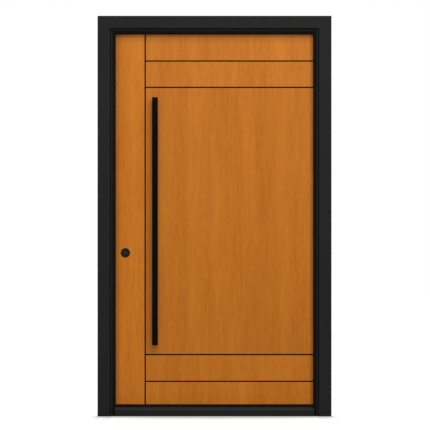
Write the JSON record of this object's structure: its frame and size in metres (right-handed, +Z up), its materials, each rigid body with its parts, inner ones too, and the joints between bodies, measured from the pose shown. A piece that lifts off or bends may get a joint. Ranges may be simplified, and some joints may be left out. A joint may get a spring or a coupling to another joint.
{
  "type": "fiberglass entry door",
  "caption": "Inswing entry door in its frame: grooved wood-grain leaf, dark jambs and casings, long bar pulls, deadbolt, butt hinges and a sloped sill.",
  "frame": {"origin": "centre of the sill's underside, midway across the unit and through the jamb's depth", "axes": "+X towards the hinge side, +Y indoors, +Z up; seen from outdoors the latch is on the left"},
  "size_m": [1.4134, 0.211, 2.42],
  "materials": {
    "frame_paint": "satin dark charcoal coat on composite",
    "seal_rubber": "matte black",
    "sill_metal": "dark bronze anodised",
    "sill_composite": "matte black composite",
    "grained_skin": "satin honey-stained wood grain on fiberglass",
    "edge_wood": "stained wood edge",
    "foam": "rigid foam",
    "groove_strip": "matte black strip",
    "black_metal": "satin black powder coat",
    "lock_metal": "dark grey satin",
    "hinge_metal": "satin black"
  },
  "bodies": {
    "frame": {"latch_jamb": "frame_paint", "hinge_jamb": "frame_paint", "head_jamb": "frame_paint", "latch_casing": "frame_paint", "hinge_casing": "frame_paint", "head_casing": "frame_paint", "latch_seal": "seal_rubber", "hinge_seal": "seal_rubber", "head_seal": "seal_rubber", "sill_base": "sill_composite", "sill_tread": "sill_metal", "threshold_cap": "sill_composite", "threshold_lip": "seal_rubber", "strike_plate": "lock_metal", "hinge_pins": "hinge_metal", "hinge_1_frame_leaf": "hinge_metal", "hinge_2_frame_leaf": "hinge_metal", "hinge_3_frame_leaf": "hinge_metal"},
    "leaf": {"outer_skin": "grained_skin", "inner_skin": "grained_skin", "latch_stile": "edge_wood", "hinge_stile": "edge_wood", "top_rail": "edge_wood", "bottom_rail": "edge_wood", "foam_core": "foam", "door_shoe": "seal_rubber", "outer_groove_trim": "groove_strip", "inner_groove_trim": "groove_strip", "outer_pull_bar": "black_metal", "outer_pull_posts": "black_metal", "inner_pull_bar": "black_metal", "inner_pull_posts": "black_metal", "deadbolt_rose": "black_metal", "thumb_turn_rose": "black_metal", "key_cylinder": "lock_metal", "thumb_turn": "black_metal", "deadbolt_faceplate": "lock_metal", "deadbolt_bolt": "lock_metal", "hinge_1_door_leaf": "hinge_metal", "hinge_2_door_leaf": "hinge_metal", "hinge_3_door_leaf": "hinge_metal"}
  },
  "joints": [
    {"name": "leaf_hinge", "type": "hinge", "parent": "frame", "child": "leaf", "pos_m": [0.61225, 0.0655, 1.197], "axis": [0, 0, -1], "range_deg": [0, 110]}
  ]
}
